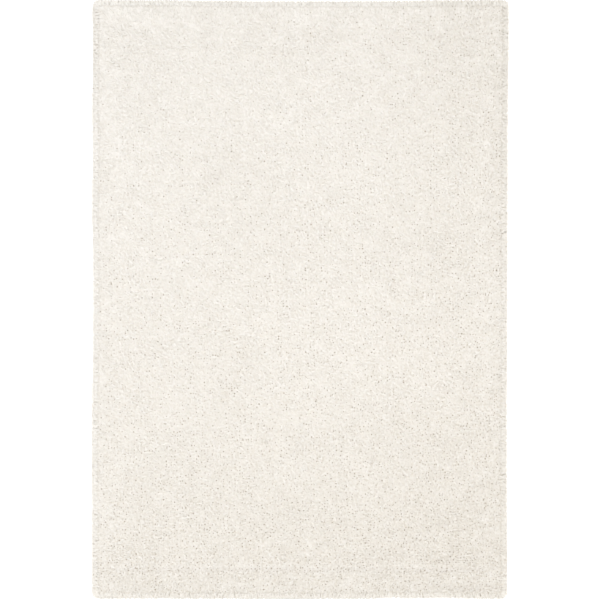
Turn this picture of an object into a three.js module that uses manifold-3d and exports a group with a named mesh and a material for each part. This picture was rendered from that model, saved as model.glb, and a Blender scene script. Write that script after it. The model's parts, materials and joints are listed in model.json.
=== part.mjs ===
// A cream shag rug lying flat on the floor, in millimetres, +Z up.
// The origin is the middle of the flat underside. X runs across the rug and Y along it, with its near
// end at -Y.
//
// The rug is one piece of cloth, a ground weave with a long pile, so it is one solid: a lumpy slab of
// pile with a round shoulder. Three-sided locks of pile lean out from its wall all round and lie level
// on the floor.
import * as THREE from "three";
import { mergeVertices } from "three/addons/utils/BufferGeometryUtils.js";
import Module from "manifold-3d";

const wasm = await Module();
wasm.setup();

// Driving dimensions.
const rugWidth = 1600; // over the rim locks
const rugLength = 2310;
const pileHeight = 38; // mean height of the field above the floor
const rimReach = 12; // how far the longest rim locks lie beyond the slab's wall

const clumpPitch = 48; // spacing of the field's clumps
const clumpRise = 4; // most that a clump stands above or below the mean
const clumpShift = 10; // most that a clump lies off its even place
const shoulderCalm = 0.3; // share of that rise and shift that the shoulder keeps

const lockPitch = 28; // spacing of the rim locks along a side
const lockMargin = 26; // from a corner of the slab to the middle of the first lock on a side

// The slab's section from its wall inwards: height as a share of the pile.
const shoulder = [
  { inward: 0, height: 0.62 },
  { inward: 12, height: 0.86 },
  { inward: 34, height: 1 },
];

// A rim lock's sections from its root inside the slab to its toe: a flat base and a ridge over it.
const lockSections = [
  { out: -14, base: 4, ridge: 24, halfWidth: 12.5 },
  { out: 3, base: 0, ridge: 18, halfWidth: 12 },
  { out: rimReach, base: 0, ridge: 8, halfWidth: 9 },
];

// The most that one lock differs from the table: shares of its size, and its toe's and ridge's place.
const lockVaries = { reach: 0.25, width: 0.12, height: 0.15, toeDrift: 3, ridgeDrift: 4 };

// How far the rim falls short of the full size, at a share of the way along a side. The left and the
// right side run from the near end to the far end, and both ends run from left to right.
const sides = {
  left: [
    { along: 0, short: 1.5 },
    { along: 0.29, short: 0 },
    { along: 0.41, short: 4.5 },
    { along: 0.5, short: 5.5 },
    { along: 0.57, short: 5 },
    { along: 0.65, short: 0.5 },
    { along: 0.73, short: 3 },
    { along: 0.81, short: 2 },
    { along: 0.93, short: 4.5 },
    { along: 1, short: 2 },
  ],
  right: [
    { along: 0, short: 5 },
    { along: 0.24, short: 8 },
    { along: 0.33, short: 8.3 },
    { along: 0.41, short: 6 },
    { along: 0.73, short: 4 },
    { along: 1, short: 0 },
  ],
  near: [
    { along: 0, short: 2 },
    { along: 0.1, short: 3.2 },
    { along: 0.27, short: 1.8 },
    { along: 0.51, short: 0 },
    { along: 0.62, short: 1.2 },
    { along: 0.7, short: 3.6 },
    { along: 0.86, short: 4.3 },
    { along: 1, short: 0.6 },
  ],
  far: [
    { along: 0, short: 0 },
    { along: 0.14, short: 0.8 },
    { along: 0.38, short: 4 },
    { along: 0.51, short: 5.4 },
    { along: 0.75, short: 3.8 },
    { along: 0.84, short: 0.6 },
    { along: 1, short: 0 },
  ],
};

// The slab's corners are arcs, not all alike.
const corners = [
  { name: "near left", sideX: -1, sideY: -1, radius: 14 },
  { name: "near right", sideX: 1, sideY: -1, radius: 18 },
  { name: "far right", sideX: 1, sideY: 1, radius: 24 },
  { name: "far left", sideX: -1, sideY: 1, radius: 16 },
];

// Shallow partings near the near end, where the pile falls two ways.
const partings = [
  { name: "long", fromX: -700, toX: 700, fromNear: 110, depth: 4, halfWidth: 44 },
  { name: "short", fromX: 480, toX: 740, fromNear: 46, depth: 3, halfWidth: 30 },
];

const slabHalfWidth = rugWidth / 2 - rimReach;
const slabHalfLength = rugLength / 2 - rimReach;

// A repeatable random number from -1 to 1 for two counts and a use.
function chance(i, j, use) {
  const mixed = Math.sin(i * 127.1 + j * 311.7 + use * 74.7) * 43758.5453;
  return 2 * (mixed - Math.floor(mixed)) - 1;
}

// How far a side falls short at a share of the way along it, eased from row to row.
function shortOf(rows, along) {
  const next = rows.findIndex((row) => row.along >= along);
  if (next < 1) return rows[0].short;
  const [before, after] = [rows[next - 1], rows[next]];
  const share = THREE.MathUtils.smoothstep(along, before.along, after.along);
  return THREE.MathUtils.lerp(before.short, after.short, share);
}

// Moves a point of an even rectangle to its place on the real, slightly uneven rug.
function uneven(x, y) {
  const alongX = THREE.MathUtils.clamp(x / rugWidth + 0.5, 0, 1);
  const alongY = THREE.MathUtils.clamp(y / rugLength + 0.5, 0, 1);
  const drawX = (1 - alongX) * shortOf(sides.left, alongY) - alongX * shortOf(sides.right, alongY);
  const drawY = (1 - alongY) * shortOf(sides.near, alongX) - alongY * shortOf(sides.far, alongX);
  return new THREE.Vector2(x + drawX, y + drawY);
}

// Draws a slab point that lies in a corner square in to that corner's arc.
function rounded(x, y) {
  const corner = corners.find(({ sideX, sideY }) => sideX * x > 0 && sideY * y > 0);
  if (!corner) return new THREE.Vector2(x, y);
  const centre = new THREE.Vector2(
    corner.sideX * (slabHalfWidth - corner.radius),
    corner.sideY * (slabHalfLength - corner.radius),
  );
  const over = new THREE.Vector2(x, y).sub(centre);
  if (over.x * corner.sideX <= 0 || over.y * corner.sideY <= 0) return new THREE.Vector2(x, y);
  const reach = Math.max(Math.abs(over.x), Math.abs(over.y));
  return over.setLength(reach).add(centre);
}

function partingDepth(x, y) {
  const depths = partings.map((parting) => {
    const across = y + rugLength / 2 - parting.fromNear;
    const past = Math.max(parting.fromX - x, x - parting.toX, 0);
    const spent = THREE.MathUtils.smoothstep(Math.hypot(across, past), 0, parting.halfWidth);
    return parting.depth * (1 - spent);
  });
  return Math.max(...depths);
}

// The slab's grid lines in one direction: the shoulder's rows at both ends, even clumps between them.
function gridLines(slabHalf) {
  const rim = shoulder.slice(0, -1);
  const fieldHalf = slabHalf - shoulder.at(-1).inward;
  const clumps = Math.round((2 * fieldHalf) / clumpPitch);
  const field = Array.from({ length: clumps + 1 }, (_, i) => fieldHalf * ((2 * i) / clumps - 1));
  return [
    ...rim.map(({ inward, height }) => ({ at: inward - slabHalf, height })),
    ...field.map((at) => ({ at, height: 1 })),
    ...rim.toReversed().map(({ inward, height }) => ({ at: slabHalf - inward, height })),
  ];
}

// The slab: clumps on top, an upright wall, and a flat underside.
function slabSolid() {
  const columns = gridLines(slabHalfWidth);
  const rows = gridLines(slabHalfLength).toReversed(); // a plane's rows start at its far end
  const [lastColumn, lastRow] = [columns.length - 1, rows.length - 1];
  const plane = new THREE.PlaneGeometry(1, 1, lastColumn, lastRow);
  const top = plane.getAttribute("position");
  const at = (i, j) => j * columns.length + i;

  rows.forEach((row, j) =>
    columns.forEach((column, i) => {
      const height = Math.min(row.height, column.height);
      const calm = height < 1 ? shoulderCalm : 1;
      const onWall = i % lastColumn === 0 || j % lastRow === 0;
      const place = rounded(column.at, row.at);
      if (!onWall) {
        place.x += calm * clumpShift * chance(i, j, 1);
        place.y += calm * clumpShift * chance(i, j, 2);
      }
      const rise = calm * clumpRise * chance(i, j, 3) - partingDepth(place.x, place.y);
      const { x, y } = uneven(place.x, place.y);
      top.setXYZ(at(i, j), x, y, pileHeight * height + rise);
    }),
  );

  // The wall hangs from the plane's border, taken counter-clockwise as seen from above.
  const border = [
    ...columns.map((_, i) => at(i, lastRow)).slice(0, -1),
    ...rows.map((_, j) => at(lastColumn, lastRow - j)).slice(0, -1),
    ...columns.map((_, i) => at(lastColumn - i, 0)).slice(0, -1),
    ...rows.map((_, j) => at(0, j)).slice(0, -1),
  ];
  const foot = border.map((v) => new THREE.Vector2(top.getX(v), top.getY(v)));
  const footAt = (k) => top.count + (k % border.length);
  const index = [...plane.index.array];
  border.forEach((v, k) => {
    const next = border[(k + 1) % border.length];
    index.push(v, footAt(k), next, footAt(k), footAt(k + 1), next);
  });
  for (const [a, b, c] of THREE.ShapeUtils.triangulateShape(foot, [])) {
    index.push(footAt(a), footAt(c), footAt(b));
  }

  return solidOf([...top.array, ...foot.flatMap(({ x, y }) => [x, y, 0])], index);
}

const lockSide = new THREE.Shape([
  new THREE.Vector2(-1, 0),
  new THREE.Vector2(1, 0),
  new THREE.Vector2(0, 1),
]);

// One lock from a place on the slab's wall. outward is a unit vector, and count sets the lock's chances.
function lockSolid(wallX, wallY, outward, count) {
  const along = new THREE.Vector2(-outward.y, outward.x);
  const reach = 1 - lockVaries.reach * Math.abs(chance(count, 0, 4));
  const width = 1 - lockVaries.width * Math.abs(chance(count, 0, 5));
  const height = 1 + lockVaries.height * chance(count, 0, 6);
  const toeDrift = lockVaries.toeDrift * chance(count, 0, 7);
  const ridgeDrift = lockVaries.ridgeDrift * chance(count, 0, 8);
  const wall = uneven(wallX, wallY);

  // The prism's X is the place across the lock in half widths, Y is 1 on the ridge, and Z counts the
  // sections.
  const spans = lockSections.length - 1;
  const prism = new THREE.ExtrudeGeometry(lockSide, { steps: spans, depth: spans, bevelEnabled: false });
  prism.deleteAttribute("normal");
  prism.deleteAttribute("uv");
  const merged = mergeVertices(prism);
  const position = merged.getAttribute("position");
  for (let v = 0; v < position.count; v++) {
    const { out, base, ridge, halfWidth } = lockSections[Math.round(position.getZ(v))];
    const onRidge = position.getY(v);
    const reached = out > 0 ? out * reach : out;
    const drift = (toeDrift * Math.max(reached, 0)) / rimReach + ridgeDrift * onRidge;
    const across = position.getX(v) * halfWidth * width + drift;
    const x = wall.x + outward.x * reached + along.x * across;
    const y = wall.y + outward.y * reached + along.y * across;
    position.setXYZ(v, x, y, onRidge ? ridge * height : base);
  }
  return solidOf(position.array, merged.index.array);
}

// The locks of the whole rim: a row on each side and one on each corner.
function rimLocks() {
  const locks = [];
  const walls = [
    { outward: new THREE.Vector2(0, -1), half: slabHalfWidth, away: slabHalfLength },
    { outward: new THREE.Vector2(1, 0), half: slabHalfLength, away: slabHalfWidth },
    { outward: new THREE.Vector2(0, 1), half: slabHalfWidth, away: slabHalfLength },
    { outward: new THREE.Vector2(-1, 0), half: slabHalfLength, away: slabHalfWidth },
  ];
  for (const { outward, half, away } of walls) {
    const run = half - lockMargin;
    const steps = Math.round((2 * run) / lockPitch);
    for (let k = 0; k <= steps; k++) {
      const along = run * ((2 * k) / steps - 1);
      const x = outward.x * away - outward.y * along;
      const y = outward.y * away + outward.x * along;
      locks.push(lockSolid(x, y, outward, locks.length));
    }
  }
  for (const { sideX, sideY } of corners) {
    const place = rounded(sideX * slabHalfWidth, sideY * slabHalfLength);
    locks.push(lockSolid(place.x, place.y, new THREE.Vector2(sideX, sideY).normalize(), locks.length));
  }
  return locks;
}

function solidOf(positions, index) {
  const mesh = new wasm.Mesh({
    numProp: 3,
    vertProperties: new Float32Array(positions),
    triVerts: new Uint32Array(index),
  });
  return new wasm.Manifold(mesh);
}

// The whole rug as one solid, centred, and drawn out to its full size where its longest locks fall
// short of it.
function rugGeometry() {
  const whole = rimLocks().reduce((rug, lock) => rug.add(lock), slabSolid());
  const { vertProperties, triVerts } = whole.getMesh();
  const geometry = new THREE.BufferGeometry();
  geometry.setAttribute("position", new THREE.BufferAttribute(vertProperties, 3));
  geometry.setIndex(new THREE.BufferAttribute(triVerts, 1));
  geometry.computeBoundingBox();
  const { min, max } = geometry.boundingBox;
  geometry.translate(-(min.x + max.x) / 2, -(min.y + max.y) / 2, 0);
  geometry.scale(rugWidth / (max.x - min.x), rugLength / (max.y - min.y), 1);
  geometry.computeVertexNormals();
  return geometry;
}

const pile = new THREE.MeshStandardMaterial({ color: 0xf1ebdf, roughness: 0.95, metalness: 0 });
pile.name = "pile";

const shagRug = new THREE.Mesh(rugGeometry(), pile);
shagRug.name = "shag_rug";

const rug = new THREE.Group();
rug.add(shagRug);

export default rug;
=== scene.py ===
import json
import math
import random

import bmesh
import bpy
from mathutils import Matrix, Vector, noise
from mathutils.bvhtree import BVHTree

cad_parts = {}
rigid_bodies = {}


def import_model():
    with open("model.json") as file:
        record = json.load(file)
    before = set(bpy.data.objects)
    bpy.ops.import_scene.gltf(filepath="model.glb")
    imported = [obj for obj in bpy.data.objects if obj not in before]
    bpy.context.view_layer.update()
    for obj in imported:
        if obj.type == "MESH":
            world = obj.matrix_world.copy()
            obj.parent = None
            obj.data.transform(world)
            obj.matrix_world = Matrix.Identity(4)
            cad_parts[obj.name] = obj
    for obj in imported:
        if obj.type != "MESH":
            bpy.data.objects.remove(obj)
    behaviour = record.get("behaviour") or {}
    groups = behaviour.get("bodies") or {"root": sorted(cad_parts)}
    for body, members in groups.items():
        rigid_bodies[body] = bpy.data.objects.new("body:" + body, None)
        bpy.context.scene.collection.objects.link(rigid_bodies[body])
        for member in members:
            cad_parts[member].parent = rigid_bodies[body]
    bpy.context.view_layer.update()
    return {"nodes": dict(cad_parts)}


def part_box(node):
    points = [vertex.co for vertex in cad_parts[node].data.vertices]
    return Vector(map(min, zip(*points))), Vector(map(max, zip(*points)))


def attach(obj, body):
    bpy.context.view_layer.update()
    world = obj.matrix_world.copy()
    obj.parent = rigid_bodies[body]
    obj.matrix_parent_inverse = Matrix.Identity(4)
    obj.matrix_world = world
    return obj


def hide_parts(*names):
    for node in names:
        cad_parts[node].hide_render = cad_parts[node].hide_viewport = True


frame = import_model()
print("frame loaded")

chance = random.Random(11)


# wraps a node socket, so that node maths reads as plain Python
class Wire:
    def __init__(self, tree, socket=None):
        self.tree = tree
        self.socket = socket

    # a new node: its settings go in first, then values or wires for its sockets
    def node(self, kind, settings=None, sockets=None, output=0):
        made = self.tree.nodes.new(kind)
        for name, value in (settings or {}).items():
            setattr(made, name, value)
        for name, value in (sockets or {}).items():
            if isinstance(value, Wire):
                self.tree.links.new(value.socket, made.inputs[name])
            else:
                made.inputs[name].default_value = value
        return Wire(self.tree, made.outputs[output] if len(made.outputs) else None)

    def maths(self, operation, *values):
        return self.node("ShaderNodeMath", {"operation": operation}, dict(enumerate(values)))

    def __add__(self, other):
        return self.maths("ADD", self, other)

    def __radd__(self, other):
        return self.maths("ADD", other, self)

    def __sub__(self, other):
        return self.maths("SUBTRACT", self, other)

    def __rsub__(self, other):
        return self.maths("SUBTRACT", other, self)

    def __mul__(self, other):
        return self.maths("MULTIPLY", self, other)

    def __rmul__(self, other):
        return self.maths("MULTIPLY", other, self)

    def __truediv__(self, other):
        return self.maths("DIVIDE", self, other)

    def floor(self):
        return self.maths("FLOOR", self)

    def fraction(self):
        return self.maths("FRACT", self)

    def sine(self):
        return self.maths("SINE", self)

    def cosine(self):
        return self.maths("COSINE", self)

    def size(self):
        return self.maths("ABSOLUTE", self)

    # kept between 0 and 1
    def held(self):
        return self.maths("MINIMUM", self.maths("MAXIMUM", self, 0.0), 1.0)

    def power(self, exponent):
        return self.maths("POWER", self, exponent)

    # the X, Y or Z part of a vector or a colour
    def part(self, axis):
        return self.node("ShaderNodeSeparateXYZ", None, {0: self}, axis)

    def bump(self, height, depth, strength, **sockets):
        values = {"Height": height, "Distance": depth, "Strength": strength, **sockets}
        return self.node("ShaderNodeBump", None, values)

    # between two colours, by this wire
    def between(self, colourA, colourB):
        return self.node("ShaderNodeMix", {"data_type": "RGBA"}, {0: self, 6: colourA, 7: colourB}, 2)


def paint(red, green, blue):
    def linear(value):
        share = value / 255
        return share / 12.92 if share <= 0.04045 else ((share + 0.055) / 1.055) ** 2.4

    return linear(red), linear(green), linear(blue), 1


matt = {"specular": 0.25, "sheenRoughness": 0.6}  # what all the materials share


def newMaterial(name, roughness, sheen=0.0):
    material = bpy.data.materials.new(name)
    material.use_nodes = True
    surface = material.node_tree.nodes["Principled BSDF"]
    surface.inputs["Roughness"].default_value = roughness
    surface.inputs["Specular IOR Level"].default_value = matt["specular"]
    surface.inputs["Sheen Weight"].default_value = sheen
    surface.inputs["Sheen Roughness"].default_value = matt["sheenRoughness"]
    return material, Wire(material.node_tree), surface


def feed(surface, socket, wire):
    wire.tree.links.new(wire.socket, surface.inputs[socket])


def between(low, high, share):
    return low + (high - low) * share


def eased(share):
    held = min(max(share, 0), 1)
    return held * held * (3 - 2 * held)


# what wavers over the rug is read from one noise, each kind at a height of its own
layers = {"opening": 1, "patches": 2, "nap": 3, "parting": 4, "clumps": 5, "shade": 8, "lumps": 9}
layerGap = 7.3


def waver(x, y, size, layer):
    return noise.noise(Vector((x / size, y / size, layerGap * layers[layer])))


def pieceFrom(bm, name, material, smooth=True):
    mesh = bpy.data.meshes.new(name)
    for face in bm.faces:
        face.smooth = smooth
    bm.to_mesh(mesh)
    bm.free()
    mesh.materials.append(material)
    piece = bpy.data.objects.new(name, mesh)
    bpy.context.scene.collection.objects.link(piece)
    return piece


# the rug's own form, read off the frame
rugNode = frame["nodes"]["shag_rug"]
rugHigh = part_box("shag_rug")[1]
halfWidth, halfLength = rugHigh.x, rugHigh.y

form = {
    "cornerRadius": 0.023,  # at the rim
    "footHeight": 0.0005,  # a rim lock's foot lies lower than this
    "footBelt": 0.03,  # and this near to its side
    "station": 0.035,  # spacing of the places where a side's reach is read
    "window": 0.042,  # each reads the longest rim lock this near to it
    "besideRug": 0.006,  # height taken where nothing of the rug is below
    "pileOver": 0.0028,  # how far the pile stands out over the rim locks on the long sides
    "pileTop": 0.038,  # height of the pile up to levelWithin from the rim
    "levelWithin": 0.030,
    "levelBlend": 0.025,  # and over this width it changes to the rug's own form
}

rugTree = BVHTree.FromPolygons(
    [vertex.co for vertex in rugNode.data.vertices],
    [polygon.vertices for polygon in rugNode.data.polygons],
)
footPoints = [vertex.co for vertex in rugNode.data.vertices if vertex.co.z < form["footHeight"]]


def rugHeight(x, y):
    hit = rugTree.ray_cast(Vector((x, y, 1)), Vector((0, 0, -1)))[0]
    return hit.z if hit else form["besideRug"]


def triangles(piece):
    piece.data.calc_loop_triangles()
    return len(piece.data.loop_triangles)


# how far out a side's rim reaches, read at even stations along it
def readSide(outX, outY):
    half = halfLength if outX else halfWidth
    away = halfWidth if outX else halfLength
    near = [(foot.y if outX else foot.x, foot.x * outX + foot.y * outY) for foot in footPoints]
    near = [(along, reach) for along, reach in near if reach > away - form["footBelt"]]
    steps = round(2 * (half - form["cornerRadius"]) / form["station"])
    stations = []
    for step in range(steps + 1):
        at = (half - form["cornerRadius"]) * (2 * step / steps - 1)
        stations.append(max(reach for along, reach in near if abs(along - at) < form["window"]))
    return stations


sides = {(outX, outY): readSide(outX, outY) for outX, outY in [(-1, 0), (1, 0), (0, -1), (0, 1)]}


def sideReach(outX, outY, along):
    stations = sides[outX, outY]
    half = (halfLength if outX else halfWidth) - form["cornerRadius"]
    at = min(max((along / half + 1) / 2, 0), 1) * (len(stations) - 1)
    before = min(int(at), len(stations) - 2)
    return between(stations[before], stations[before + 1], at - before)


# a place on an even rectangle, moved to where it lies on the real, slightly uneven rug
def settled(x, y):
    reachX = (sideReach(1 if x > 0 else -1, 0, y) + form["pileOver"]) / halfWidth
    reachY = sideReach(0, 1 if y > 0 else -1, x) / halfLength
    return x * reachX, y * reachY


# a place of a corner square, drawn in to that corner's arc
def roundedIn(x, y):
    overX = abs(x) - (halfWidth - form["cornerRadius"])
    overY = abs(y) - (halfLength - form["cornerRadius"])
    if overX <= 0 or overY <= 0:
        return x, y
    share = max(overX, overY) / math.hypot(overX, overY)
    return math.copysign(abs(x) - overX * (1 - share), x), math.copysign(abs(y) - overY * (1 - share), y)


# how far inside the even rim a place is
def insideRim(x, y):
    radius = form["cornerRadius"]
    overX = abs(x) - (halfWidth - radius)
    overY = abs(y) - (halfLength - radius)
    if overX > 0 and overY > 0:
        return radius - math.hypot(overX, overY)
    return radius - max(overX, overY)


# a place inset from the rim, and the way out from it: along the side first, then round its corner
def rimPlaces(spacing, inset):
    radius = form["cornerRadius"]
    for quarter in range(4):
        half, away = (halfWidth, halfLength) if quarter % 2 == 0 else (halfLength, halfWidth)
        way = (quarter - 1) * math.pi / 2
        outX, outY = round(math.cos(way)), round(math.sin(way))
        count = round(2 * (half - radius) / spacing)
        for step in range(count):
            along = (half - radius) * ((2 * step + 1) / count - 1)
            reach = away - inset
            yield outX * reach - outY * along, outY * reach + outX * along, way
        fan = max(round(radius * math.pi / 2 / spacing), 2)
        for step in range(fan):
            turn = way + math.pi / 2 * (step + 0.5) / fan
            centreX = outX * (away - radius) - outY * (half - radius)
            centreY = outY * (away - radius) + outX * (half - radius)
            reach = radius - inset
            yield centreX + reach * math.cos(turn), centreY + reach * math.sin(turn), turn


print("rug form read: %.0f x %.0f mm" % (2000 * halfWidth, 2000 * halfLength))


# how the pile lies
lay = {
    "nap": math.radians(148),  # the way that the pile leans, from +X towards +Y
    "napSwing": 0.35,  # slow turns of the nap, in radians
    "napSize": 0.5,
    "clumpSwing": 0.7,  # turns from clump to clump
    "clumpSize": 0.026,
    "strandSwing": 0.9,  # turns from strand to strand
    "outWithin": 0.12,  # the pile turns outwards this near to the rim
    "outFully": 0.02,  # fully up to here
    "rimBand": 0.110,  # and bit by bit over this width
    "rimWidth": (0.055, 0.115),  # its painted shade and its lower lie are full up to the first, and none beyond the second
    "partings": (  # each lies along the near end, and the pile on its near side falls that way
        {"middle": 0.0, "half": 0.72, "fromNear": 0.111, "width": 0.0075},
        {"middle": 0.66, "half": 0.11, "fromNear": 0.041, "width": 0.0085},
    ),
    "partingWander": 0.006,
    "partingWanderSize": 0.12,
    "partingEnd": 0.06,
    "partingReach": 1.5,  # of its widths, at which a parting ends to either side
    "apart": 0.75,  # how far the pile turns away from a parting
    "apartWidth": 0.018,
    "apartReach": 1.6,  # of that width
    "apartRight": 0.15,  # and a little to the right
    "thinned": 0.40,  # of a parting's own strands are left out
}

# how open the pile stands: 0 lies close, 1 stands apart. It opens to the right and to the near end
opening = {
    "near": 0.80,
    "nearPower": 0.9,
    "right": 0.55,
    "rightLoss": 0.75,  # of the right side's share is lost towards the near end
    "swing": 0.16,
    "swingSize": 0.35,
    "patches": 0.22,
    "patchSize": 0.09,
}


def openness(x, y):
    right = (x / halfWidth + 1) / 2
    near = (1 - y / halfLength) / 2
    opened = opening["near"] * near ** opening["nearPower"]
    opened += opening["right"] * right**2 * (1 - opening["rightLoss"] * near)
    opened += opening["swing"] * waver(x, y, opening["swingSize"], "opening")
    opened += opening["patches"] * waver(x, y, opening["patchSize"], "patches")
    return min(max(opened, 0), 1)


# for a parting: its share of a place along it, and how far beyond it the place lies
def fromParting(parting, x, y):
    along = eased((parting["half"] - abs(x - parting["middle"])) / lay["partingEnd"] + 0.5)
    wander = lay["partingWander"] * waver(x, y, lay["partingWanderSize"], "parting")
    return along, y + halfLength - parting["fromNear"] - wander


def inParting(x, y):
    shares = []
    for parting in lay["partings"]:
        along, beyond = fromParting(parting, x, y)
        shares.append(along * eased(lay["partingReach"] - abs(beyond) / parting["width"]))
    return max(shares)


# which way a strand leans at a place
def leanWay(x, y, out):
    turn = lay["nap"] + lay["napSwing"] * waver(x, y, lay["napSize"], "nap")
    pull = Vector((math.cos(turn), math.sin(turn)))
    for parting in lay["partings"]:
        along, beyond = fromParting(parting, x, y)
        apart = lay["apart"] * along * eased(lay["apartReach"] - abs(beyond) / lay["apartWidth"])
        pull = pull.lerp(Vector((lay["apartRight"], math.copysign(1, beyond))), apart)
    way = math.atan2(pull.y, pull.x)
    if out.length > 0:  # turned towards the rim bit by bit, so that no parting opens along it
        toOut = (math.atan2(out.y, out.x) - way + math.pi) % (2 * math.pi) - math.pi
        way += toOut * eased(1 - (insideRim(x, y) - lay["outFully"]) / lay["rimBand"])
    way += lay["clumpSwing"] * waver(x, y, lay["clumpSize"], "clumps")
    return way + lay["strandSwing"] * chance.uniform(-1, 1)


# the way out to the rim from a place near to it, and nothing further in
def wayOut(x, y):
    overX = abs(x) - (halfWidth - lay["outWithin"])
    overY = abs(y) - (halfLength - lay["outWithin"])
    out = Vector((math.copysign(max(overX, 0), x), math.copysign(max(overY, 0), y)))
    return out.normalized() if out.length > 0 else Vector((0, 0))


yarn = {
    "tones": 16,  # steps of shade and of warmth that a strand can have
    "deep": paint(233, 229.5, 223),
    "pale": paint(251, 249.7, 247.5),
    "warm": paint(246, 241.7, 233.5),
    "warmShare": 0.5,
    # painted shade at a strand's root, deep in the pile: the root turns 1 less this share towards the
    # painted shade's tint
    "rootShade": 0.95,
    "paintedShadeTint": paint(150, 134, 112),
    "plies": 2,  # yarn plies seen round a strand, and their turns along it
    "plyTurns": 5,
    "plyShade": 0.22,  # painted shade in the grooves between the plies: how far they turn to the painted shade's tint
    "plyDepth": 0.0005,
    "plyStrength": 0.35,
    "fibreSize": 1400,
    "fibreDepth": 0.0003,
    "fibreStrength": 0.3,
    "roughness": 0.78,
    "sheen": 0.2,
}


# the strands' map is cut into cells, and each holds one strand: across them go the shades,
# up them the warmths
def yarnMaterial():
    material, start, surface = newMaterial("creamYarn", yarn["roughness"], yarn["sheen"])
    bakeMap = start.node("ShaderNodeUVMap", {"uv_map": "OFBake"})
    across, up = bakeMap.part("X") * yarn["tones"], bakeMap.part("Y") * yarn["tones"]
    shade = across.floor() / (yarn["tones"] - 1)
    warmth = up.floor() / (yarn["tones"] - 1) * yarn["warmShare"]
    around, along = across.fraction(), up.fraction()
    colour = warmth.between(shade.between(yarn["deep"], yarn["pale"]), yarn["warm"])
    # painted shade at the root, deep in the pile, and in the grooves between the plies
    rootShare = (1 - along).power(2) * (1 - yarn["rootShade"])
    ply = ((around * yarn["plies"] + along * yarn["plyTurns"]) * math.pi).sine().size()
    groove = (1 - ply).power(3) * yarn["plyShade"]
    feed(surface, "Base Color", (rootShare + groove).between(colour, yarn["paintedShadeTint"]))

    plied = start.bump(ply, yarn["plyDepth"], yarn["plyStrength"])
    objectPlace = start.node("ShaderNodeTexCoord", None, None, "Object")
    fibre = start.node(
        "ShaderNodeTexNoise", None, {"Vector": objectPlace, "Scale": yarn["fibreSize"], "Detail": 1}
    )
    fuzzy = start.bump(fibre, yarn["fibreDepth"], yarn["fibreStrength"], Normal=plied)
    feed(surface, "Normal", fuzzy)
    return material


bedding = {
    "tuft": paint(252, 250, 247),
    # painted shade between tufts and between their yarns: where the pile is close, and where it is open
    "gapShades": (paint(240, 237, 232), paint(230, 225, 216)),
    "tuftSize": 85,  # tufts in a metre
    "tuftFall": 0.8,  # how low a tuft falls to its border, in relief and in painted shade
    "yarnPitch": 0.0031,  # of the yarns that lie side by side in a tuft
    "yarnFall": 0.45,
    "depth": 0.002,
    "strength": 0.45,
    "roughness": 0.9,
    "warpSize": 220,
    "warp": 0.006,
    "pitShade": paint(146, 128, 105),  # painted shade: the dark depth of a gap between strands
    "pitSize": 95,  # places for a pit, in a metre
    "pitShares": (0.03, 0.95),  # of those places: far left, and near right
    "pitWidth": 0.138,  # half a pit's width, as a share of the places' spacing
    "pitSizes": (0.6, 0.8),  # the least of that, and how much more it may be
    "pitEdge": 0.12,
    "pitCluster": 26,
    "pitContrast": 4,  # between clusters and what lies between them
    "pitParting": 0.4,  # more of them in a parting
    "partingReach": 2,  # of its widths
    # painted shade along the partings and beside the right and near sides
    "partingShade": 0.13,
    "rimShare": 0.1,  # more painted shade beside the right and near sides
    "rimShade": 0.03,
    "pitFloor": 0.019,  # no pits lower than this
}


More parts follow.
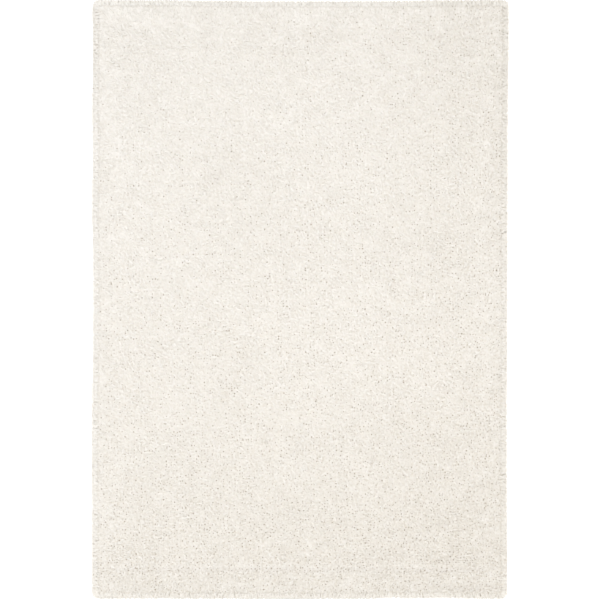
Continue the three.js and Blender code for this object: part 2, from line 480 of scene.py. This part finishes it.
def beddingMaterial():
    material, start, surface = newMaterial("pileRoots", bedding["roughness"])
    objectPlace = start.node("ShaderNodeTexCoord", None, None, "Object")
    placeX, placeY, placeZ = (objectPlace.part(axis) for axis in "XYZ")

    def noiseOf(size, output=0):
        return start.node("ShaderNodeTexNoise", None, {"Vector": objectPlace, "Scale": size}, output)

    drift = noiseOf(bedding["warpSize"], "Color")
    warp = start.node("ShaderNodeVectorMath", {"operation": "SCALE"}, {0: drift, "Scale": bedding["warp"]})
    warped = start.node("ShaderNodeVectorMath", {"operation": "ADD"}, {0: objectPlace, 1: warp})

    def voronoi(size, output="Distance"):
        sockets = {"Vector": warped, "Scale": size}
        return start.node("ShaderNodeTexVoronoi", {"voronoi_dimensions": "2D"}, sockets, output)

    turn = voronoi(bedding["tuftSize"], "Color").part("X") * (2 * math.pi)
    lane = (placeX * turn.cosine() + placeY * turn.sine()) / bedding["yarnPitch"]
    crease = 1 - (lane * math.pi).sine().size()
    low = (voronoi(bedding["tuftSize"]) * bedding["tuftFall"] + crease * bedding["yarnFall"]).held()

    right = placeX / (2 * halfWidth) + 0.5
    near = 0.5 - placeY / (2 * halfLength)
    inside = start.maths("MINIMUM", halfWidth - placeX, halfLength + placeY)
    full, none = lay["rimWidth"]
    atRim = ((none - inside) / (none - full)).held()
    openRight = right * right * (1 - near * opening["rightLoss"]) * opening["right"]
    opened = (near * opening["near"] + openRight + atRim * bedding["rimShare"]).held()
    # painted shade: the bedding darkens between tufts and between their yarns, more where the pile stands
    # open
    colour = low.between(bedding["tuft"], opened.between(*bedding["gapShades"]))

    few, many = bedding["pitShares"]
    cluster = noiseOf(bedding["pitCluster"])
    wanted = (opened * (many - few) + few) * (cluster * bedding["pitContrast"] - 1).held()
    parted = 0.0
    for parting in lay["partings"]:
        beside = (placeX - parting["middle"]).size()
        lengthwise = ((parting["half"] - beside) / lay["partingEnd"] + 0.5).held()
        across = (placeY + (halfLength - parting["fromNear"])).size() / parting["width"]
        parted = parted + lengthwise * (bedding["partingReach"] - across).held()
    wanted = wanted + parted * bedding["pitParting"]
    # painted shade along the partings and beside the right and near sides
    shaded = parted * bedding["partingShade"] + atRim * bedding["rimShade"]
    colour = shaded.between(colour, bedding["pitShade"])
    # painted shade: dark spots for the deep gaps between strands, more where the pile stands open
    pitRandom = voronoi(bedding["pitSize"], "Color")
    there = start.maths("LESS_THAN", pitRandom.part("X"), wanted)
    there = there * start.maths("GREATER_THAN", placeZ, bedding["pitFloor"])
    least, more = bedding["pitSizes"]
    width = bedding["pitWidth"] * (least + more * pitRandom.part("Y"))
    pitShade = ((width - voronoi(bedding["pitSize"])) / bedding["pitEdge"] + 0.5).held() * there
    feed(surface, "Base Color", pitShade.between(colour, bedding["pitShade"]))
    feed(surface, "Normal", start.bump(1 - low, bedding["depth"], bedding["strength"]))
    return material


backing = {
    "thread": paint(222, 214, 198),
    # painted shade between the threads
    "gapShade": paint(176, 164, 146),
    "pitch": 0.0032,
    "depth": 0.0004,
    "strength": 1,
    "roughness": 0.92,
}


def backingMaterial():
    material, start, surface = newMaterial("wovenBacking", backing["roughness"])
    objectPlace = start.node("ShaderNodeTexCoord", None, None, "Object")
    turns = 2 * math.pi / backing["pitch"]
    warp = (objectPlace.part("X") * turns).sine()
    weft = (objectPlace.part("Y") * turns).sine()
    weave = warp * weft * 0.5 + 0.5
    # painted shade between the threads
    feed(surface, "Base Color", weave.between(backing["gapShade"], backing["thread"]))
    feed(surface, "Normal", start.bump(weave, backing["depth"], backing["strength"]))
    return material


creamYarn = yarnMaterial()
pileRoots = beddingMaterial()
wovenBacking = backingMaterial()
print("materials made")


# a strand of pile, bent from a three-sided ring
strand = {
    "thick": 0.0023,  # radius at its widest
    "swell": (0.85, 1.0, 0.9, 0.6),  # its radius at its root, along it and at its tip, as shares of that
    "twist": 0.6,  # most that it turns from ring to ring
    "leastTwist": 0.4,  # as a share of that
    "margin": 0.06,  # kept free round a strand's place in its cell of the map
    "endAcross": (0.1, 0.9, 0.5),  # where the corners of an end face lie across the cell
    "endInward": (0, 0, 0.08),  # and how far in along it
}

# how each kind of strand bends: the length and the lean from upright of its spans, in metres and degrees,
# and how far a lean is uneven and a heading wanders, from copy to copy
kinds = {
    "field": {
        "copies": 40, "spans": (0.0098, 0.0098), "leans": (20, 62), "uneven": 18, "wander": 45,
    },
    "shoulder": {
        "copies": 10, "spans": (0.0080, 0.0090), "leans": (46, 88), "uneven": 14, "wander": 36,
    },
    "over": {
        "copies": 12, "spans": (0.0060, 0.0065, 0.0080), "leans": (60, 84, 138), "uneven": 10, "wander": 30,
    },
    "fall": {
        "copies": 12, "spans": (0.0045, 0.0055, 0.0085), "leans": (58, 108, 168), "uneven": 10, "wander": 34,
    },
    "low": {
        "copies": 10, "spans": (0.0045, 0.0075), "leans": (80, 150), "uneven": 12, "wander": 24,
    },
}


def bendStrand(name, kind):
    bm = bmesh.new()
    ringOf = bm.verts.layers.int.new("ring")
    cornerOf = bm.verts.layers.int.new("corner")
    place = bm.loops.layers.uv.new("strandPlace")
    swell = [*strand["swell"][: len(kind["leans"])], strand["swell"][-1]]
    bmesh.ops.create_circle(bm, cap_ends=True, segments=3, radius=strand["thick"] * swell[0])
    bm.faces.ensure_lookup_table()
    tip = bm.faces[0]
    for corner, vert in enumerate(bm.verts):
        vert[cornerOf] = corner
    centre, facing, centres = Vector(), Vector((0, 0, 1)), [Vector()]
    for ring, (lean, span) in enumerate(zip(kind["leans"], kind["spans"]), 1):
        down = math.radians(lean + kind["uneven"] * chance.uniform(-1, 1))
        aside = math.radians(kind["wander"] * chance.uniform(-1, 1) * ring / 2)
        level = math.sin(down)
        way = Vector((level * math.cos(aside), level * math.sin(aside), math.cos(down)))
        extruded = bmesh.ops.extrude_face_region(bm, geom=[tip])["geom"]
        if ring > 1:
            bmesh.ops.delete(bm, geom=[tip], context="FACES_ONLY")
        tip = next(part for part in extruded if isinstance(part, bmesh.types.BMFace))
        moved = list(tip.verts)
        for vert in moved:
            vert[ringOf] = ring
        bend = facing.rotation_difference(way).to_matrix()
        twist = Matrix.Rotation(strand["twist"] * chance.uniform(strand["leastTwist"], 1), 3, way)
        bmesh.ops.rotate(bm, cent=centre, matrix=twist @ bend, verts=moved)
        grown = swell[ring] / swell[ring - 1]
        bmesh.ops.scale(bm, vec=(grown,) * 3, space=Matrix.Translation(-centre), verts=moved)
        bmesh.ops.translate(bm, vec=way * span, verts=moved)
        centre = centre + way * span
        facing = way
        centres.append(centre)
    bmesh.ops.recalc_face_normals(bm, faces=bm.faces)

    def inCell(share):
        return strand["margin"] + (1 - 2 * strand["margin"]) * share

    for face in bm.faces:
        corners = {vert[cornerOf] for vert in face.verts}
        if len(face.verts) == 3:
            end = face.verts[0][ringOf] / len(kind["leans"])
            for loop, across, inward in zip(face.loops, strand["endAcross"], strand["endInward"]):
                loop[place].uv = inCell(across), inCell(end + (inward if end < 0.5 else -inward))
        else:
            first = next(corner for corner in corners if (corner + 1) % 3 in corners)
            for loop in face.loops:
                onward = loop.vert[cornerOf] != first
                end = loop.vert[ringOf] / len(kind["leans"])
                loop[place].uv = inCell((first + onward) / 3), inCell(end)
    return pieceFrom(bm, name, creamYarn, smooth=False), centres


# every kind's copies go in one collection, in the order of their names
strands = bpy.data.collections.new("strands")
bent = {}
for kindName, kind in kinds.items():
    bent[kindName] = []
    for _ in range(kind["copies"]):
        made, centres = bendStrand("strand%03d" % len(strands.objects), kind)
        bent[kindName].append((len(strands.objects), centres))
        strands.objects.link(made)
        bpy.context.scene.collection.objects.unlink(made)


# sets a strand on each point, as the point's own values say
def scatterTree():
    tree = bpy.data.node_groups.new("scatterStrands", "GeometryNodeTree")
    tree.interface.new_socket("Geometry", in_out="INPUT", socket_type="NodeSocketGeometry")
    tree.interface.new_socket("Geometry", in_out="OUTPUT", socket_type="NodeSocketGeometry")
    start = Wire(tree)

    def named(name, kind):
        return start.node("GeometryNodeInputNamedAttribute", {"data_type": kind}, {"Name": name})

    def vector(operation, first, second):
        return start.node("ShaderNodeVectorMath", {"operation": operation}, {0: first, 1: second})

    picked = start.node(
        "GeometryNodeCollectionInfo", None,
        {"Collection": strands, "Separate Children": True, "Reset Children": True},
    )
    turned = start.node("FunctionNodeEulerToRotation", None, {0: named("turn", "FLOAT_VECTOR")})
    placed = start.node(
        "GeometryNodeInstanceOnPoints", None,
        {
            "Points": start.node("NodeGroupInput"), "Instance": picked, "Pick Instance": True,
            "Instance Index": named("pick", "INT"), "Rotation": turned,
            "Scale": named("size", "FLOAT_VECTOR"),
        },
    )
    real = start.node("GeometryNodeRealizeInstances", None, {"Geometry": placed})
    cell = vector("ADD", named("strandPlace", "FLOAT_VECTOR"), named("tone", "FLOAT_VECTOR"))
    mapPlace = vector("DIVIDE", cell, (yarn["tones"], yarn["tones"], 1))
    stored = start.node(
        "GeometryNodeStoreNamedAttribute", {"data_type": "FLOAT2", "domain": "CORNER"},
        {"Geometry": real, "Name": "OFBake", "Value": mapPlace},
    )
    start.node("NodeGroupOutput", None, {0: stored})
    return tree


strandScatter = scatterTree()


# settings holds (place, turn, size, pick, tone) for each strand
def scatter(name, settings):
    bm = bmesh.new()
    turn = bm.verts.layers.float_vector.new("turn")
    size = bm.verts.layers.float_vector.new("size")
    tone = bm.verts.layers.float_vector.new("tone")
    pick = bm.verts.layers.int.new("pick")
    for atPlace, atTurn, atSize, atPick, atTone in settings:
        vert = bm.verts.new(atPlace)
        vert[turn], vert[size], vert[tone], vert[pick] = atTurn, atSize, atTone, atPick
    points = pieceFrom(bm, name + "Points", creamYarn)
    points.modifiers.new("scatter", "NODES").node_group = strandScatter
    evaluated = points.evaluated_get(bpy.context.evaluated_depsgraph_get())
    mesh = bpy.data.meshes.new_from_object(evaluated)
    mesh.name = name
    for spent in ("turn", "size", "tone", "pick", "strandPlace", "ring", "corner"):
        if spent in mesh.attributes:
            mesh.attributes.remove(mesh.attributes[spent])
    bpy.data.objects.remove(points)
    piece = bpy.data.objects.new(name, mesh)
    bpy.context.scene.collection.objects.link(piece)
    return piece


# how a strand's shade and warmth change over the rug, in steps: its falls are painted shade and its rise
# painted light. Places on it go from -1 to 1
shading = {
    "middle": 11,  # the higher, the paler
    "spread": 1.2,  # from strand to strand
    "swing": 1.7,  # slow changes of shade
    "swingSize": 0.4,
    "nearPaintedShade": 2,  # painted shade towards the near end
    "farPaintedShade": 5.6,  # and towards the far end, beyond farFrom
    "farFrom": 0.5,
    "rightPaintedShade": 0.7,
    "cornerPaintedShade": 5,  # in the two right-hand corners
    "farCorner": 0.7,  # of the near corner's fall
    "rise": 1.44,  # painted light in a band across the rug
    "rightPaintedLight": 0.96,  # more so on the right
    "riseAt": 0.3,
    "riseWidth": 0.5,
    "warmth": 6.5,
    "warmthSpread": 2.5,
    "rightWarmth": 2,
    "nearWarmth": 4.5,
}


# a strand's shade and warmth, as its cell of the map; paintedShading is painted shade where below 0 and
# painted light where above
def toneOf(x, y, paintedShading):
    toRight, toNear = x / halfWidth, -y / halfLength
    # painted shade over the rug's ends, right side and right-hand corners, and a band of painted light
    # across it
    fall = shading["nearPaintedShade"] * max(toNear, 0) ** 2
    fall += shading["farPaintedShade"] * max(-toNear - shading["farFrom"], 0) + shading["rightPaintedShade"] * toRight
    toEnd = max(toNear, -shading["farCorner"] * toNear)
    fall += shading["cornerPaintedShade"] * max(toRight + toEnd - 1, 0)
    inBand = max(1 - ((toNear - shading["riseAt"]) / shading["riseWidth"]) ** 2, 0)
    rise = (shading["rise"] + shading["rightPaintedLight"] * toRight) * inBand
    shade = shading["middle"] + paintedShading - fall + rise + chance.gauss(0, shading["spread"])
    shade += shading["swing"] * waver(x, y, shading["swingSize"], "shade")
    warmth = shading["warmth"] + chance.gauss(0, shading["warmthSpread"])
    warmth += shading["rightWarmth"] * toRight + shading["nearWarmth"] * toNear
    top = yarn["tones"] - 1
    return Vector((min(max(round(shade), 0), top), min(max(round(warmth), 0), top), 0))


# 1 beside the rim, 0 in the field
def nearRim(inside):
    full, none = lay["rimWidth"]
    return eased((none - inside) / (none - full))


def nearestSide(x, y):
    if abs(x) - halfWidth > abs(y) - halfLength:
        return "right" if x > 0 else "left"
    return "far" if y > 0 else "near"


# the dense roots of the pile, and the ground that it is woven into
roots = {
    "columns": 132,
    "rows": 190,
    "foot": 0.0012,
    "insets": (0.0085, 0.0092, 0.0110, 0.0145, 0.0190, 0.0250),  # of its outermost rows, from the rim
    "wall": 0.013,  # height at which its round shoulder begins
    "shoulder": 0.0150,  # width of the shoulder
    "depth": 0.0130,  # under the rug's form
    "lump": 0.0018,
    "lumpSize": 0.014,
}
ground = {"columns": 24, "rows": 36, "foot": 0.0003, "height": 0.0018, "insets": (0.020, 0.060)}


def pileHeight(x, y, inside):
    ownForm = eased((inside - form["levelWithin"]) / form["levelBlend"])
    return between(form["pileTop"], rugHeight(x, y), ownForm)


def rootsHeight(x, y, inside):
    share = min(max((inside - roots["insets"][0]) / roots["shoulder"], 0), 1)
    full = pileHeight(x, y, inside)
    full -= roots["depth"] + roots["lump"] * waver(x, y, roots["lumpSize"], "lumps")
    return between(roots["wall"], full, math.sqrt(1 - (1 - share) ** 2))


# a closed slab on a grid: its outer rows stand at their insets from the rim, and its top follows heightAt
def slabBetween(name, sizes, material, heightAt):
    bm = bmesh.new()
    bmesh.ops.create_grid(bm, x_segments=sizes["columns"], y_segments=sizes["rows"], size=1)
    insets = sizes["insets"]

    # the outermost rows stand at their insets, and the others evenly between them
    def spaced(share, half, count):
        fromBorder = round((1 - abs(share)) * count / 2)
        if fromBorder < len(insets):
            return math.copysign(half - insets[fromBorder], share)
        inner = 1 - 2 * (len(insets) - 1) / count
        return share / inner * (half - insets[-1])

    for vert in bm.verts:
        x = spaced(vert.co.x, halfWidth, sizes["columns"])
        y = spaced(vert.co.y, halfLength, sizes["rows"])
        x, y = roundedIn(x, y)
        inside = insideRim(x, y)
        x, y = settled(x, y)
        vert.co = x, y, heightAt(x, y, inside)
    border = [edge for edge in bm.edges if edge.is_boundary]
    dropped = bmesh.ops.extrude_edge_only(bm, edges=border)["geom"]
    footVerts = [part for part in dropped if isinstance(part, bmesh.types.BMVert)]
    footEdges = [part for part in dropped if isinstance(part, bmesh.types.BMEdge)]
    for vert in footVerts:
        vert.co.z = sizes["foot"]
    bmesh.ops.edgeloop_fill(bm, edges=[edge for edge in footEdges if edge.is_boundary])
    bmesh.ops.recalc_face_normals(bm, faces=bm.faces)
    return pieceFrom(bm, name, material)


rootsPiece = slabBetween("pileRoots", roots, pileRoots, rootsHeight)
groundPiece = slabBetween("groundWeave", ground, wovenBacking, lambda x, y, inside: ground["height"])
print("roots and ground made")


# the field of pile
field = {
    "pitch": 0.0081,
    "jitter": 0.45,  # of the pitch
    "fromRim": 0.0205,  # no strand stands nearer to the rim
    "rooted": 0.002,  # how deep a strand starts in the roots
    "bands": 5,  # pieces that the field is made in, from the near end to the far end
    "tilts": (0, -6),  # turned back from a strand's own bend, where the pile is close and where it is open
    "tiltSwings": (8, 20),
    "tipAt": 0.6,  # of a strand's reach, where the height over it is read
    "sink": 0.002,  # the tips' mean depth under the rug's form, and their spread, close and open
    "spreads": (0.0012, 0.0030),
    "least": 0.50,  # size of a strand, as a share of the one that was bent
    "most": 1.25,
    "rimTilt": 10,  # leaned further out beside the rim, in degrees
    "rimDrop": 0.0030,  # tips lower there
    "shoulder": 0.018,  # over this width at its border the field bends down too, by shoulderDrop
    "shoulderDrop": 0.0045,
    "rimPaintedShades": {"left": -3.2, "right": -4.6, "near": -4, "far": -2.8},  # painted shade there
}


def fieldStrand(x, y):
    inside = insideRim(x, y)
    placeX, placeY = settled(x, y)
    opened = openness(placeX, placeY)
    azimuth = leanWay(placeX, placeY, wayOut(x, y))
    swing = between(*field["tiltSwings"], opened) * chance.uniform(-1, 1)
    atRim = nearRim(inside)
    tilt = math.radians(between(*field["tilts"], opened) + swing + field["rimTilt"] * atRim)
    pick, centres = chance.choice(bent["field"])
    tip = centres[-1]
    reach = tip.x * math.cos(tilt) + tip.z * math.sin(tilt)
    rise = max(centre.z * math.cos(tilt) - centre.x * math.sin(tilt) for centre in centres)
    tipX = placeX + field["tipAt"] * reach * math.cos(azimuth)
    tipY = placeY + field["tipAt"] * reach * math.sin(azimuth)
    height = rootsHeight(placeX, placeY, inside) - field["rooted"]
    atBorder = max(1 - (inside - field["fromRim"]) / field["shoulder"], 0)
    target = pileHeight(tipX, tipY, inside) - field["sink"] - height
    target -= field["rimDrop"] * atRim + field["shoulderDrop"] * atBorder**2
    target += between(*field["spreads"], opened) * chance.uniform(-1, 1)
    size = min(max(target / rise, field["least"]), field["most"])
    tone = toneOf(placeX, placeY, field["rimPaintedShades"][nearestSide(x, y)] * atRim)
    return (placeX, placeY, height), (0, tilt, azimuth), (size, size, size), pick, tone


def scatterField():
    columns = round(2 * halfWidth / field["pitch"])
    rows = round(2 * halfLength / field["pitch"])
    bands = [[] for _ in range(field["bands"])]
    for row in range(rows):
        for column in range(columns):
            x = halfWidth * ((2 * column + 1 + row % 2 - 0.5) / columns - 1)  # staggered from row to row
            y = halfLength * ((2 * row + 1) / rows - 1)
            x += field["pitch"] * field["jitter"] * chance.uniform(-1, 1)
            y += field["pitch"] * field["jitter"] * chance.uniform(-1, 1)
            kept = chance.random() >= lay["thinned"] * inParting(x, y)
            if kept and insideRim(x, y) > field["fromRim"]:
                bands[row * field["bands"] // rows].append(fieldStrand(x, y))
    return [scatter("pileField%d" % (band + 1), settings) for band, settings in enumerate(bands)]


# rows of pile that fall over the rim, from its shoulder down to the floor
rim = {
    "swing": 0.38,  # turns from strand to strand, in radians
    "stray": 0.0012,  # most that a root stands off its row, inwards or outwards
    "lift": 0.0034,  # and up or down
    "short": 0.0012,  # most that a strand ends short of its row's end
    "fewShort": 3,  # the higher, the fewer do
    "most": 1.35,  # size of a strand, as a share of the one that was bent
    "floorGap": 0.0014,  # under the ends of the lowest
    # painted shade at the rim, for each side
    "sidePaintedShades": {"left": -4.6, "right": -6.8, "near": -5.4, "far": -3.6},
    "rows": (  # where the roots stand, how far inside the rim the strands end, and their change of shade: painted light on the shoulder row, painted shade on the others
        {
            "kind": "shoulder", "spacing": 0.0034, "inset": 0.0250, "height": 0.0225,
            "end": 0.0076, "shade": 1.2,
        },
        {
            "kind": "over", "spacing": 0.0031, "inset": 0.0175, "height": 0.0242,
            "end": -0.0022, "shade": -1.5,
        },
        {
            "kind": "fall", "spacing": 0.0032, "inset": 0.0115, "height": 0.0175,
            "end": -0.0022, "shade": -2,
        },
        {
            "kind": "low", "spacing": 0.0042, "inset": 0.0095, "height": 0.0120,
            "end": 0.0006, "shade": -0.7,
        },
        {
            "kind": "low", "spacing": 0.0044, "inset": 0.0092, "height": 0.0065,
            "end": 0.0018, "shade": -0.7,
        },
    ),
}


def scatterRim():
    settings = []
    for row in rim["rows"]:
        for x, y, way in rimPlaces(row["spacing"], row["inset"]):
            turn = way + rim["swing"] * chance.uniform(-1, 1)
            stray = rim["stray"] * chance.uniform(-1, 1)
            x, y = settled(x + stray * math.cos(way), y + stray * math.sin(way))
            pick, centres = chance.choice(bent[row["kind"]])
            wanted = row["inset"] - stray - row["end"] - rim["short"] * chance.random() ** rim["fewShort"]
            reach = max(centre.x for centre in centres) * math.cos(turn - way)
            size = min(wanted / reach, rim["most"])
            height = row["height"] + rim["lift"] * chance.uniform(-1, 1)
            height = max(height, rim["floorGap"] - min(centre.z for centre in centres) * size)
            tone = toneOf(x, y, row["shade"] + rim["sidePaintedShades"][nearestSide(x, y)])
            settings.append(((x, y, height), (0, 0, turn), (size, size, size), pick, tone))
    return scatter("pileRim", settings)


fieldPieces = scatterField()
print("field of pile: %d pieces" % len(fieldPieces))
rimPiece = scatterRim()
print("rim of pile made")

pilePieces = [*fieldPieces, rimPiece, rootsPiece]
for piece in [*pilePieces, groundPiece]:
    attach(piece, "root")
    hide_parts("shag_rug")

for spent in list(strands.objects):
    bpy.data.objects.remove(spent)
bpy.data.collections.remove(strands)
counts = ["%s %d" % (piece.name, triangles(piece)) for piece in [*pilePieces, groundPiece]]
print("triangles: " + ", ".join(counts))


# the floor, the light and the camera
studio = {
    "floorSize": 14,
    "floorDrop": 0.0003,  # just under what rests on it
    "floorRoughness": 0.9,
    "floorColour": paint(250, 250, 250),
    "floorGlow": 0.2,  # a lit floor, white right up to the rug
    "skyStrength": 1.168,
    "lampPower": 25,
    "lampSize": 4.0,
    "lampPlace": (-0.7, 0.4, 6.5),
    "lens": 85,
    "sensor": 36,
    "viewWidth": 2.3222,  # what the frame spans at the rug's rim, in metres
    "rimHeight": 0.008,
    "viewCentre": (-0.0007, -0.0016),
    "bounces": 14,  # light goes on from strand to strand of so pale a pile
    "allBounces": 16,  # of every kind together
}


def buildStudio():
    bm = bmesh.new()
    bmesh.ops.create_grid(bm, x_segments=1, y_segments=1, size=studio["floorSize"] / 2)
    bmesh.ops.translate(bm, vec=(0, 0, -studio["floorDrop"]), verts=bm.verts)
    paper, _, surface = newMaterial("floorPaper", studio["floorRoughness"])
    surface.inputs["Base Color"].default_value = studio["floorColour"]
    surface.inputs["Emission Color"].default_value = (1, 1, 1, 1)
    surface.inputs["Emission Strength"].default_value = studio["floorGlow"]
    pieceFrom(bm, "floorPaper", paper)

    world = bpy.data.worlds.new("softSky")
    bpy.context.scene.world = world
    world.use_nodes = True
    world.node_tree.nodes["Background"].inputs["Color"].default_value = (1, 1, 1, 1)
    world.node_tree.nodes["Background"].inputs["Strength"].default_value = studio["skyStrength"]

    lamp = bpy.data.lights.new("softLamp", "AREA")
    lamp.energy = studio["lampPower"]
    lamp.size = studio["lampSize"]
    lampObject = bpy.data.objects.new("softLamp", lamp)
    lampObject.location = studio["lampPlace"]
    lampObject.rotation_euler = (-Vector(studio["lampPlace"])).to_track_quat("-Z", "Y").to_euler()
    bpy.context.scene.collection.objects.link(lampObject)

    camera = bpy.data.cameras.new("overheadCamera")
    camera.lens, camera.sensor_width = studio["lens"], studio["sensor"]
    distance = studio["viewWidth"] * studio["lens"] / studio["sensor"]
    cameraObject = bpy.data.objects.new("overheadCamera", camera)
    cameraObject.location = (*studio["viewCentre"], studio["rimHeight"] + distance)
    bpy.context.scene.collection.objects.link(cameraObject)
    bpy.context.scene.camera = cameraObject
    bpy.context.scene.view_settings.view_transform = "Standard"
    bpy.context.scene.cycles.max_bounces = studio["allBounces"]
    bpy.context.scene.cycles.diffuse_bounces = studio["bounces"]


buildStudio()
print("studio set")
